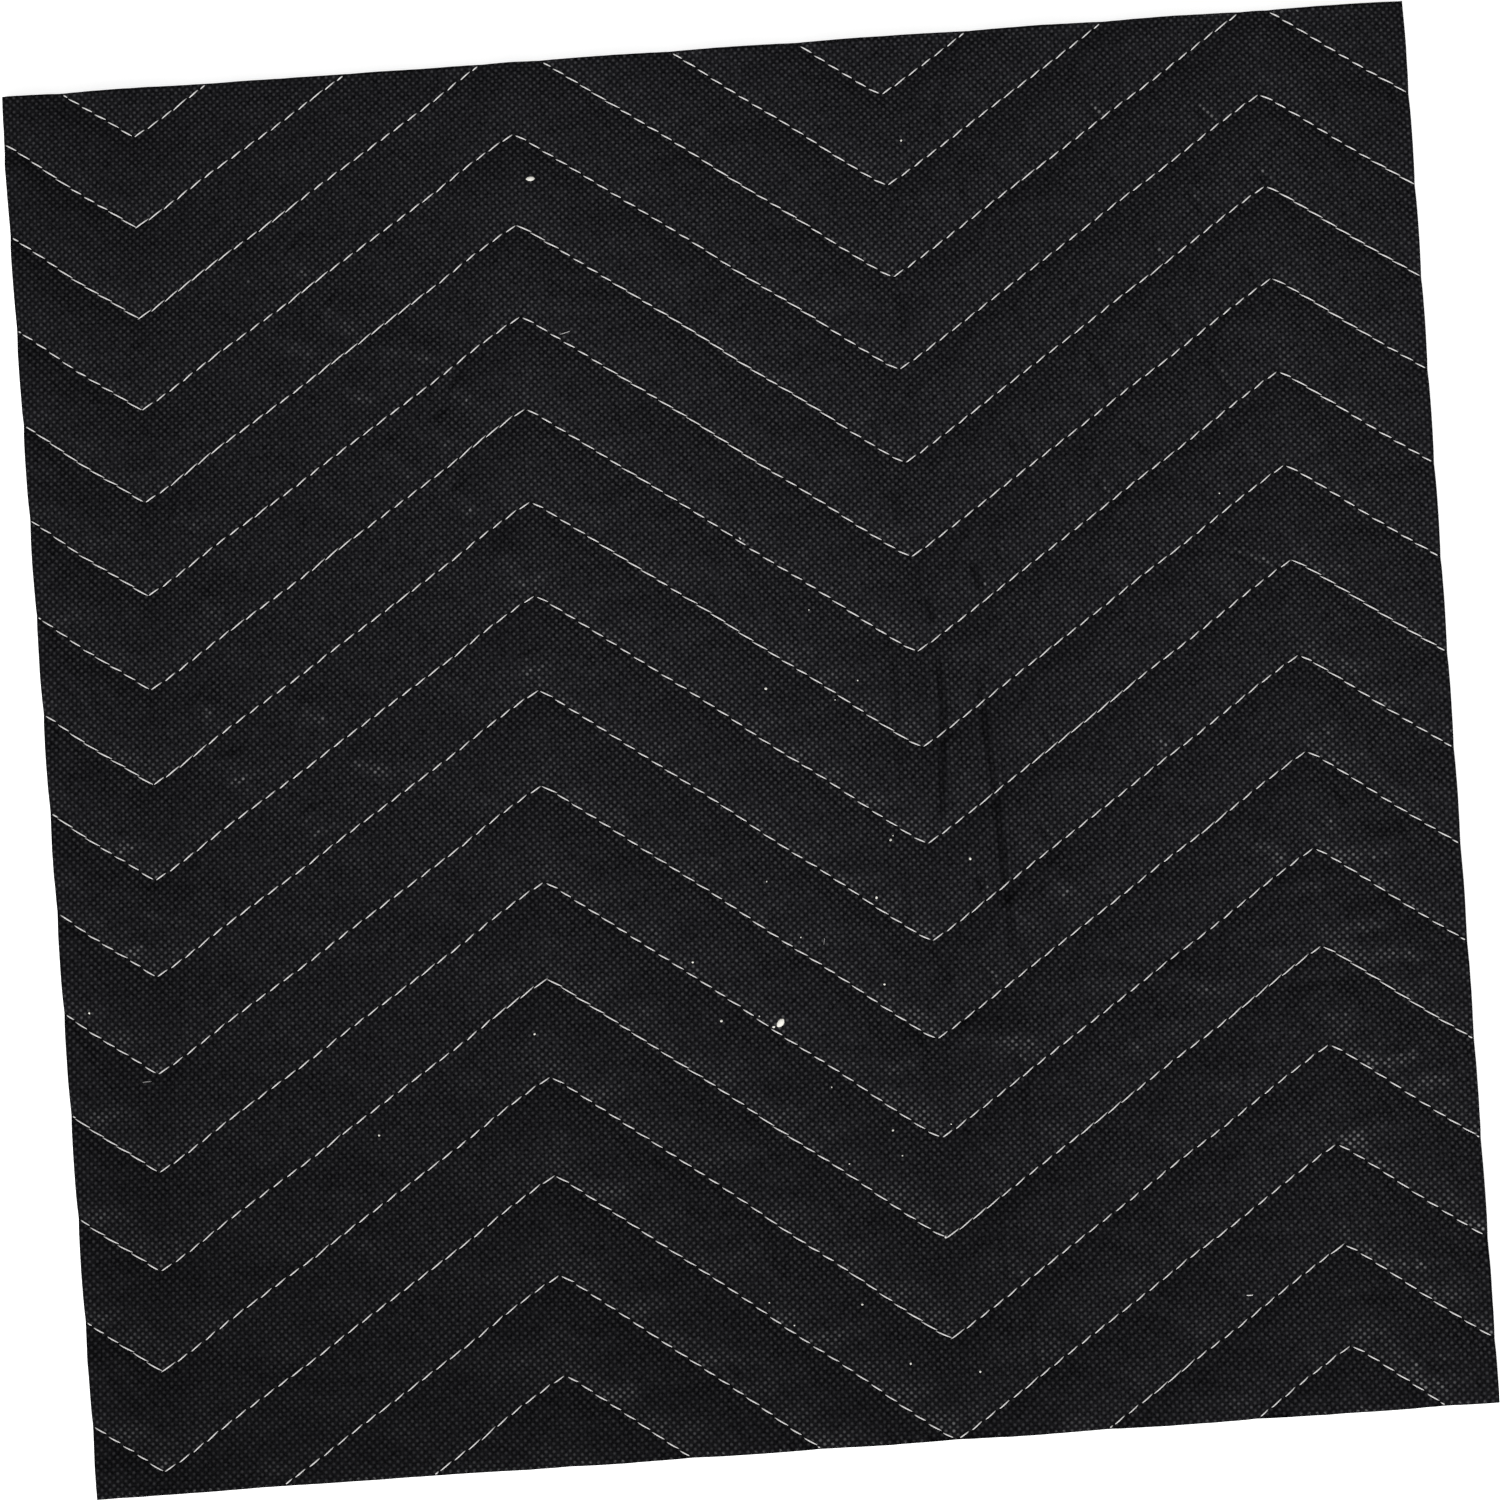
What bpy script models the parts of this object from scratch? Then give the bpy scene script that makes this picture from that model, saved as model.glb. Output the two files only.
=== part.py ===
"""A quilted moving pad: a square cut length of filled cloth, sewn through in zigzag rows.

Units are metres, +Z is up. The origin is at the middle of the underside, on the surface that
the pad lies on. X runs along the rows of quilting, and Y across them, towards the back edge.
"""

import math

import bmesh
import bpy
from mathutils import Matrix, Vector, noise

# The cut length
PAD_SIDE = 0.372
CREST_THICKNESS = 0.0058
SEAM_TOP = 0.0030
SEAM_UNDERSIDE = 0.0010
EDGE_THICKNESS_SHARE = 0.80
EDGE_DRAW_IN = 0.006

# The quilting: rows one inch apart, bent about every four inches, and numbered from the middle one
ROW_PITCH = 0.0254
FIRST_ROW, LAST_ROW = -11, 8
MIDDLE_ROW_ACROSS = -0.00195
QUILTING_TURN = math.radians(-1.14)
CLOSES_UP_BACKWARDS = 0.165
CLOSES_UP_SIDEWAYS = -0.046

# Where each bend lies along a row, and how high the row stands there over its valleys
BENDS = [
    {"bend": "peak off the left edge", "along": -0.2612, "rise": 0.0720},
    {"bend": "left valley", "along": -0.1603, "rise": 0.0},
    {"bend": "left peak", "along": -0.0557, "rise": 0.0719},
    {"bend": "right valley", "along": 0.0448, "rise": 0.0},
    {"bend": "right peak", "along": 0.1462, "rise": 0.0712},
    {"bend": "valley off the right edge", "along": 0.2465, "rise": 0.0},
]

# Each band between two rows of stitches is a puff: how far across it each mesh line runs
LINES_ACROSS_BAND = [0.0, 0.10, 0.28, 0.50, 0.72, 0.90]
STEPS_BETWEEN_BENDS = 5
UNDERSIDE_SEAM_SHARE = 0.10
PUFF_POWER = 2.2
PUFF_ROUNDNESS = 0.85
PUFF_UNEVENNESS = 0.07
UNEVEN_PATCH = 0.045
NEXT_ROW_SHARE = 0.9999

COVER_BLACK = (0.011, 0.011, 0.012, 1.0)
COVER_ROUGHNESS = 0.72


def clear_scene():
    for obj in list(bpy.data.objects):
        bpy.data.objects.remove(obj)


def cover_material():
    """Black spunbonded cover cloth."""
    material = bpy.data.materials.new("pad_cover")
    material.use_nodes = True
    shader = material.node_tree.nodes["Principled BSDF"]
    shader.inputs["Base Color"].default_value = COVER_BLACK
    shader.inputs["Roughness"].default_value = COVER_ROUGHNESS
    shader.inputs["Metallic"].default_value = 0.0
    return material


def smooth_step(share):
    share = min(max(share, 0.0), 1.0)
    return share * share * (3.0 - 2.0 * share)


def zigzag(along):
    """How high a row stands over its valleys at this place along it."""
    for left, right in zip(BENDS, BENDS[1:]):
        if along <= right["along"] or right is BENDS[-1]:
            share = (along - left["along"]) / (right["along"] - left["along"])
            return left["rise"] + share * (right["rise"] - left["rise"])


def on_pad(along, across):
    """A place on the pad from its place in the regular quilting, which closes up a little."""
    shrink = 1.0 + CLOSES_UP_SIDEWAYS * along + CLOSES_UP_BACKWARDS * across
    flat = Matrix.Rotation(QUILTING_TURN, 2) @ Vector((along, across))
    return flat / shrink


def in_quilting(x, y):
    """The place in the regular quilting of a place on the pad."""
    turned = Matrix.Rotation(-QUILTING_TURN, 2) @ Vector((x, y))
    shrink = 1.0 / (1.0 - CLOSES_UP_SIDEWAYS * turned.x - CLOSES_UP_BACKWARDS * turned.y)
    return turned * shrink


def share_across_band(x, y):
    """How far a place lies from one row of stitches, 0, to the next, 1."""
    along, across = in_quilting(x, y)
    rows = (across - MIDDLE_ROW_ACROSS - zigzag(along)) / ROW_PITCH
    share = rows - math.floor(rows)
    return 0.0 if share > NEXT_ROW_SHARE else share


def edge_share(x, y):
    """How much of its thickness the pad keeps, as near a cut edge the filling is thinner."""
    to_edge = PAD_SIDE / 2 - max(abs(x), abs(y))
    return EDGE_THICKNESS_SHARE + (1.0 - EDGE_THICKNESS_SHARE) * smooth_step(to_edge / EDGE_DRAW_IN)


def top_height(x, y):
    share = share_across_band(x, y)
    puff = (1.0 - abs(2.0 * share - 1.0) ** PUFF_POWER) ** PUFF_ROUNDNESS
    uneven = 1.0 + PUFF_UNEVENNESS * noise.noise(Vector((x, y, 0.0)) / UNEVEN_PATCH)
    height = SEAM_TOP + (CREST_THICKNESS - SEAM_TOP) * puff * uneven
    return height * edge_share(x, y)


def underside_height(x, y):
    """Flat on the surface, but for a shallow groove under each row of stitches."""
    share = share_across_band(x, y)
    to_seam = min(share, 1.0 - share)
    return SEAM_UNDERSIDE * max(0.0, 1.0 - to_seam / UNDERSIDE_SEAM_SHARE)


def places_along():
    """Where the mesh lines that cross the rows run, one at each bend and some between."""
    places = []
    for left, right in zip(BENDS, BENDS[1:]):
        for step in range(STEPS_BETWEEN_BENDS):
            share = step / STEPS_BETWEEN_BENDS
            places.append(left["along"] + share * (right["along"] - left["along"]))
    return places + [BENDS[-1]["along"]]


def places_across():
    """Where the mesh lines along the rows run, from the front row to the back one."""
    places = []
    for row in range(FIRST_ROW, LAST_ROW + 1):
        places += [MIDDLE_ROW_ACROSS + (row + share) * ROW_PITCH for share in LINES_ACROSS_BAND]
    return places


def quilted_sheet():
    """One grid whose lines follow the zigzag rows, cut off at the four sides of the pad."""
    along, across = places_along(), places_across()
    bm = bmesh.new()
    bmesh.ops.create_grid(bm, x_segments=len(along) - 1, y_segments=len(across) - 1, size=0.5)
    for vert in bm.verts:
        place = along[round((vert.co.x + 0.5) * (len(along) - 1))]
        row_place = across[round((vert.co.y + 0.5) * (len(across) - 1))]
        x, y = on_pad(place, row_place + zigzag(place))
        vert.co = (x, y, 0.0)
    for side in range(4):
        outwards = Matrix.Rotation(side * math.pi / 2, 3, "Z") @ Vector((1.0, 0.0, 0.0))
        for inset, trims in ((0.0, True), (EDGE_DRAW_IN, False)):
            bmesh.ops.bisect_plane(
                bm,
                geom=bm.verts[:] + bm.edges[:] + bm.faces[:],
                plane_co=outwards * (PAD_SIDE / 2 - inset),
                plane_no=outwards,
                clear_outer=trims,
            )
    return bm


def give_thickness(bm):
    """The sheet becomes the pad: its copy on top is puffed, and its own faces lie underneath."""
    made = bmesh.ops.extrude_face_region(bm, geom=bm.faces[:], use_keep_orig=True)
    top = {item for item in made["geom"] if isinstance(item, bmesh.types.BMVert)}
    for vert in bm.verts:
        height = top_height if vert in top else underside_height
        vert.co.z = height(vert.co.x, vert.co.y)
    bmesh.ops.recalc_face_normals(bm, faces=bm.faces[:])


def quilted_pad(collection, material):
    bm = quilted_sheet()
    give_thickness(bm)
    mesh = bpy.data.meshes.new("quilted_pad")
    bm.to_mesh(mesh)
    bm.free()
    mesh.shade_smooth()
    mesh.materials.append(material)
    collection.objects.link(bpy.data.objects.new("quilted_pad", mesh))


clear_scene()
parts = bpy.data.collections.new("moving_pad")
bpy.context.scene.collection.children.link(parts)
quilted_pad(parts, cover_material())
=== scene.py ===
# A quilted moving pad lying flat: black non-woven covers, sewn through in zigzag rows with white thread.
import math
import random

import bmesh
import bpy
from mathutils import Matrix, Vector, noise


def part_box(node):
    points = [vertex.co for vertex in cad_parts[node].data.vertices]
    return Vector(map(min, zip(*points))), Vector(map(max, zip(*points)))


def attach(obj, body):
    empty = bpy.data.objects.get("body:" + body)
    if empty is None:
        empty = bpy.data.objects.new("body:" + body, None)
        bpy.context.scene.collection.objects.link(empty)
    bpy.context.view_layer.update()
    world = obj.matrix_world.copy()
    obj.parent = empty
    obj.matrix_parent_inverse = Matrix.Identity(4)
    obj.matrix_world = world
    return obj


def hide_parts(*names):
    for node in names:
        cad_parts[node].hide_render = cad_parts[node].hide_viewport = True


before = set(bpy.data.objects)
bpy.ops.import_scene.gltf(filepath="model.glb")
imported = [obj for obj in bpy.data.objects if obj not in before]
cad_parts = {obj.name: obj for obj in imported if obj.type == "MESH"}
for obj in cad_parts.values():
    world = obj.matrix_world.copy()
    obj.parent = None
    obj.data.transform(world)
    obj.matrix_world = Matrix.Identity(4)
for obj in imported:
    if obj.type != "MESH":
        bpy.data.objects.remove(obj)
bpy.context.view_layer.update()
padLow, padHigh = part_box("quilted_pad")
halfSide = (padHigh.x - padLow.x) / 2
bpy.ops.object.select_all(action="DESELECT")
print("frame loaded, pad side", round(halfSide * 2, 4))


# Rows are numbered from the middle one, and a place along a row is counted in stitches from the first bend.
quilting = {
    "rowPitch": 0.0254,
    "rowsStart": -0.00195,  # how far back the middle row stands at its valleys
    "turn": math.radians(-1.14),  # the rows lie a little askew to the cut edges
    "closesUpSideways": -0.046,  # per metre
    "closesUpBackwards": 0.165,
    "tipRound": 0.0007,
    "stitchesPerLeg": 28,
    "firstRow": -11, "lastRow": 8,
    "firstStitch": 18, "lastStitch": 126,
    # how far the needles stray from straight on each leg: stitch, millimetres
    "strays": [
        [(0, 0.5), (19.5, 0.5), (21, 0.3), (23, -0.18), (25, 0.1), (26.5, 0.5), (28, 0.3)],
        [(0, 0), (2, -0.15), (5.5, 0.22), (8, 0), (11, -0.25), (13.5, 0), (17, -0.12), (22, -0.2),
         (24.5, 0.32), (26.5, 0.2), (28, 0)],
        [(0, 0), (2, -0.1), (4, 0.08), (7, 0.12), (9, 0.25), (12, 0.42), (14, 0.35), (16, 0), (18, 0),
         (20, 0.28), (22, 0.2), (24, -0.12), (26, -0.1), (28, 0)],
        [(0, 0), (4, -0.12), (8, 0), (14, -0.1), (17, 0.1), (20, -0.22), (23, 0), (24.5, 0.15), (26, 0),
         (28, 0)],
        [(0, 0), (3, 0), (6, -0.22), (8, -0.1), (10, 0.2), (28, 0.2)],
    ],
    # where each bend lies, how high its row stands there, and how the bend wanders from row to row
    "bends": [
        {"along": -0.2612, "rise": 0.0720, "wander": 0.0, "wanderRows": 14, "wanderFrom": 0},
        {"along": -0.1603, "rise": 0.0, "wander": 0.0006, "wanderRows": 14, "wanderFrom": 0},
        {"along": -0.0557, "rise": 0.0719, "wander": 0.0005, "wanderRows": 9, "wanderFrom": -1.5},
        {"along": 0.0448, "rise": 0.0, "wander": 0.0006, "wanderRows": 15, "wanderFrom": 0.5},
        {"along": 0.1462, "rise": 0.0712, "wander": 0.0003, "wanderRows": 13, "wanderFrom": -7},
        {"along": 0.2465, "rise": 0.0, "wander": 0.0, "wanderRows": 14, "wanderFrom": 0},
    ],
}


def bendAlong(bend, row):
    phase = 2 * math.pi * (row - bend["wanderFrom"]) / bend["wanderRows"]
    return bend["along"] + bend["wander"] * math.cos(phase)


def legOf(stitch):  # the leg, and how far along it, 0 to 1
    leg = min(int(stitch // quilting["stitchesPerLeg"]), len(quilting["bends"]) - 2)
    return leg, stitch / quilting["stitchesPerLeg"] - leg


def rowPoint(row, stitch):  # a place on a row of stitches, along and across the regular quilting
    leg, share = legOf(stitch)
    left, right = quilting["bends"][leg], quilting["bends"][leg + 1]
    start, end = bendAlong(left, row), bendAlong(right, row)
    along = start + share * (end - start)
    slope = (right["rise"] - left["rise"]) / (end - start)
    across = quilting["rowsStart"] + row * quilting["rowPitch"] + left["rise"] + slope * (along - start)
    for bend, side in ((start, 1), (end, -1)):  # a row turns its bends in a small round
        away = abs(along - bend)
        across += side * slope * (math.hypot(away, quilting["tipRound"]) - away)
    stray = quilting["strays"][leg]
    inLeg = share * quilting["stitchesPerLeg"]
    for (here, low), (there, high) in zip(stray, stray[1:]):
        if here <= inLeg <= there:
            part = smoothStep((inLeg - here) / (there - here))
            return Vector((along, across + (low + part * (high - low)) / 1000))


def bandPoint(row, stitch):  # the same between two rows, for a row number with a fraction
    whole = math.floor(row)
    return rowPoint(whole, stitch).lerp(rowPoint(whole + 1, stitch), row - whole)


def onPad(point):  # the quilting closes up a little towards the back
    shrink = 1 + quilting["closesUpSideways"] * point.x + quilting["closesUpBackwards"] * point.y
    return (Matrix.Rotation(quilting["turn"], 2) @ point) / shrink


def smoothStep(share):
    share = min(max(share, 0), 1)
    return share * share * (3 - 2 * share)


seedStep = 7.3  # how far apart the layers of unevenness are read, so that none looks like another


def unevenness(x, y, patch, seed=0):  # smooth and the same each run, about -1 to 1
    return noise.noise(Vector((x / patch, y / patch, seed * seedStep)))


def distanceToSeam(row):  # as a share of the band
    share = row - math.floor(row)
    return min(share, 1 - share)


pad = {
    "seamTop": 0.0030,
    "crestTop": 0.00475,  # before the cover swells
    "seamUnderside": 0.0010,
    "undersideSeamShare": 0.10,
    "puffPower": 2.5,
    "seamRound": 0.03,  # how softly the cover turns at a seam, as a share of the band
    "legFullness": [1.15, 0.0, 0.85, 1.12, 0.86],  # how far the puffs stand up on each leg
    "legBlend": 0.25,  # the share of a leg, from its bend, over which the fullness comes in
    "reliefBlend": 0.12,  # the share of a band, from its seam, over which dents and wrinkles come in
    "uneven": 0.08,
    "unevenPatch": 0.045,
    "dents": 0.00003,  # small unevenness of the filling under the cloth
    "dentPatch": 0.009,
    "edgeThickness": 0.95,
    "edgeDrawIn": 0.006,
    "overhang": 0.006,  # how far the sheet runs past the cut before it is trimmed
    "linesAcrossBand": [0, 0.02, 0.05, 0.09, 0.13, 0.18, 0.23, 0.28, 0.33, 0.38, 0.43, 0.48, 0.53, 0.58,
                        0.63, 0.68, 0.73, 0.78, 0.83, 0.88, 0.92, 0.96, 0.98],
    "columnsPerStitch": 4,
    "holeDimple": 0.0003,  # the cover dips at each needle hole
    "holeReach": 0.06,
    "seamShadeReach": 0.05,  # painted shade darkens the cloth this near a seam, as a share of the band
}

# Fine wrinkles, each group about one place on the pad, in millimetres and degrees:
# place, reach, angle, spacing, length, height
wrinkles = [
    ((-104, 95), (46, 52), -35, 5.5, 16, 0.12),
    ((-118, -5), (46, 66), -38, 4.6, 12, 0.07),
    ((148, -78), (58, 36), 15, 5.2, 30, 0.10),
    ((170, -152), (34, 40), 14, 6.0, 26, 0.10),
    ((112, 92), (56, 62), -66, 4.4, 18, 0.16),
    ((58, 0), (26, 85), -78, 5.0, 22, 0.12),
    ((-15, 60), (50, 95), -62, 5.5, 20, 0.05),
    ((-172, -20), (16, 120), -64, 4.6, 14, 0.12),
]


wrinkleNoise = {"gain": 1.6, "apart": 5.1}  # brings the noise up to full height, and keeps the groups unlike


def edgeShare(x, y):  # the filling is thinner beside a cut edge
    toEdge = halfSide - max(abs(x), abs(y))
    return pad["edgeThickness"] + (1 - pad["edgeThickness"]) * smoothStep(toEdge / pad["edgeDrawIn"])


def seamHeight(x, y):
    return pad["seamTop"] * edgeShare(x, y)


def wrinkleHeight(x, y):
    total = 0
    for i, (middle, reach, angle, spacing, length, height) in enumerate(wrinkles):
        away = math.hypot((x * 1000 - middle[0]) / reach[0], (y * 1000 - middle[1]) / reach[1])
        turned = Matrix.Rotation(-math.radians(angle), 2) @ Vector((x, y)) * 1000
        place = Vector((turned.x / length, turned.y / spacing, i * wrinkleNoise["apart"]))
        total += height / 1000 * math.exp(-away * away) * noise.noise(place) * wrinkleNoise["gain"]
    return total


def startHeight(row, stitch, x, y):  # the cover before it swells
    toSeam = distanceToSeam(row)
    fromSeam = math.hypot(toSeam, pad["seamRound"]) - pad["seamRound"]
    puff = 1 - (1 - 2 * fromSeam) ** pad["puffPower"]
    uneven = 1 + pad["uneven"] * unevenness(x, y, pad["unevenPatch"])
    leg, inLeg = legOf(stitch)
    full = 1 + (pad["legFullness"][leg] - 1) * smoothStep(min(inLeg, 1 - inLeg) / pad["legBlend"])
    relief = pad["dents"] * unevenness(x, y, pad["dentPatch"], seed=2) + wrinkleHeight(x, y)
    relief *= smoothStep(toSeam / pad["reliefBlend"])
    return pad["seamTop"] + (pad["crestTop"] - pad["seamTop"]) * puff * full * uneven + relief


def undersideHeight(row):  # flat, but for a shallow groove under each row of stitches
    return pad["seamUnderside"] * max(0, 1 - distanceToSeam(row) / pad["undersideSeamShare"])


sheetLayers = ("row", "stitch", "along", "across")  # each point of the cover knows its place in the quilting


def laySheet(name, columnsPerStitch, linesAcrossBand, swollen):
    columns = [quilting["firstStitch"] + i / columnsPerStitch
               for i in range((quilting["lastStitch"] - quilting["firstStitch"]) * columnsPerStitch + 1)]
    rows = range(quilting["firstRow"], quilting["lastRow"])
    lines = [row + share for row in rows for share in linesAcrossBand]
    bm = bmesh.new()
    layers = {layer: bm.verts.layers.float.new(layer) for layer in sheetLayers}
    bmesh.ops.create_grid(bm, x_segments=len(columns) - 1, y_segments=len(lines) - 1, size=0.5)
    outside = []
    for vert in bm.verts:
        stitch = columns[round((vert.co.x + 0.5) * (len(columns) - 1))]
        row = lines[round((vert.co.y + 0.5) * (len(lines) - 1))]
        flat = bandPoint(row, stitch)
        x, y = onPad(flat)
        if max(abs(x), abs(y)) > halfSide + pad["overhang"]:
            outside.append(vert)
            continue
        vert.co = Vector((x, y, startHeight(row, stitch, x, y))) + swellingAt(swollen, row, stitch)
        vert[layers["row"]], vert[layers["stitch"]] = row, stitch
        vert[layers["along"]], vert[layers["across"]] = flat
    bmesh.ops.delete(bm, geom=outside, context="VERTS")
    mesh = bpy.data.meshes.new(name)
    bm.to_mesh(mesh)
    bm.free()
    cover = bpy.data.objects.new(name, mesh)
    bpy.context.scene.collection.objects.link(cover)
    return cover


# The cover is sewn down with a little cloth to spare, and the filling pushes it out between the rows.
swelling = {
    "pressure": 2.2,
    "frames": 20,
    "columnsPerStitch": 1,
    "linesPerBand": 8,
    "spareCloth": -0.038,  # shrink, so below 0 is cloth to spare
    "leastSpareCloth": -0.003,
    "sparePerLeg": [0.3, 0.1, 0.08, 0.3, 0.4],
    "sparePatch": 0.05,  # the spare cloth varies from patch to patch
    "leastInPatch": 0.75, "patchRange": 0.5,
    "heldPastEdge": 0.003,
    "quality": 5, "mass": 0.3, "stiffness": 10.0, "bending": 0.2,
    "mostMovement": 0.0012,
    "leastMovement": 1e-9,
    "onSeam": 0.001,  # a point is on a row of stitches when its row number is this near whole
    "gridTolerance": 1e-6,
}


def swell():
    linesAcross = [i / swelling["linesPerBand"] for i in range(swelling["linesPerBand"])]
    cover = laySheet("swellingCover", swelling["columnsPerStitch"], linesAcross, {})
    rows = [item.value for item in cover.data.attributes["row"].data]
    stitches = [item.value for item in cover.data.attributes["stitch"].data]
    start = [vert.co.copy() for vert in cover.data.vertices]
    sewn = cover.vertex_groups.new(name="sewn")
    spare = cover.vertex_groups.new(name="spare")
    for i, co in enumerate(start):
        onSeam = abs(rows[i] - round(rows[i])) < swelling["onSeam"]
        pastEdge = max(abs(co.x), abs(co.y)) > halfSide + swelling["heldPastEdge"]
        sewn.add([i], 1.0 if onSeam or pastEdge else 0.0, "REPLACE")
        uneven = unevenness(co.x, co.y, swelling["sparePatch"], seed=5)
        patch = swelling["leastInPatch"] + swelling["patchRange"] * uneven
        spare.add([i], min(1.0, swelling["sparePerLeg"][legOf(stitches[i])[0]] * patch), "REPLACE")
    bpy.context.view_layer.objects.active = cover
    cloth = cover.modifiers.new("swell", "CLOTH")
    settings = cloth.settings
    settings.quality = swelling["quality"]
    settings.mass = swelling["mass"]
    settings.tension_stiffness = settings.compression_stiffness = swelling["stiffness"]
    settings.shear_stiffness = swelling["stiffness"] / 3
    settings.bending_stiffness = swelling["bending"]
    settings.use_pressure = True
    settings.uniform_pressure_force = swelling["pressure"]
    settings.vertex_group_mass = "sewn"
    settings.shrink_min, settings.shrink_max = swelling["leastSpareCloth"], swelling["spareCloth"]
    settings.vertex_group_shrink = "spare"
    settings.effector_weights.gravity = 0
    cloth.collision_settings.use_collision = False
    cloth.collision_settings.use_self_collision = False
    cloth.point_cache.frame_start, cloth.point_cache.frame_end = 1, swelling["frames"]
    for step in range(1, swelling["frames"] + 1):
        bpy.context.scene.frame_set(step)
    bpy.ops.object.modifier_apply(modifier=cloth.name)
    bpy.context.scene.frame_set(1)
    most, swollen = swelling["mostMovement"], {}
    for i, vert in enumerate(cover.data.vertices):
        moved = vert.co - start[i]
        if moved.length > swelling["leastMovement"]:
            moved *= most * math.tanh(moved.length / most) / moved.length
        line, column = rows[i] * swelling["linesPerBand"], stitches[i] * swelling["columnsPerStitch"]
        swollen[round(line), round(column)] = moved
    bpy.data.objects.remove(cover)
    moves = sorted(round(moved.length * 1000, 2) for moved in swollen.values())
    print("cover swollen, half of it by up to", moves[len(moves) // 2], "mm, most", moves[-1])
    return swollen


def curveWeights(t):  # a smooth curve through four even places, between the middle two
    return (-0.5 * t + t * t - 0.5 * t ** 3, 1 - 2.5 * t * t + 1.5 * t ** 3,
            0.5 * t + 2 * t * t - 1.5 * t ** 3, -0.5 * t * t + 0.5 * t ** 3)


def swellingAt(swollen, row, stitch):
    total = Vector()
    if not swollen:
        return total
    line, column = row * swelling["linesPerBand"], stitch * swelling["columnsPerStitch"]
    tiny = swelling["gridTolerance"]
    line0, column0 = math.floor(line + tiny), math.floor(column + tiny)
    if abs(line / swelling["linesPerBand"] - round(row)) < tiny:
        return total  # on a row of stitches the cover stays down
    for i, lineWeight in enumerate(curveWeights(line - line0)):
        for j, columnWeight in enumerate(curveWeights(column - column0)):
            moved = swollen.get((line0 - 1 + i, column0 - 1 + j))
            if moved:
                total += moved * (lineWeight * columnWeight)
    return total


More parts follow.
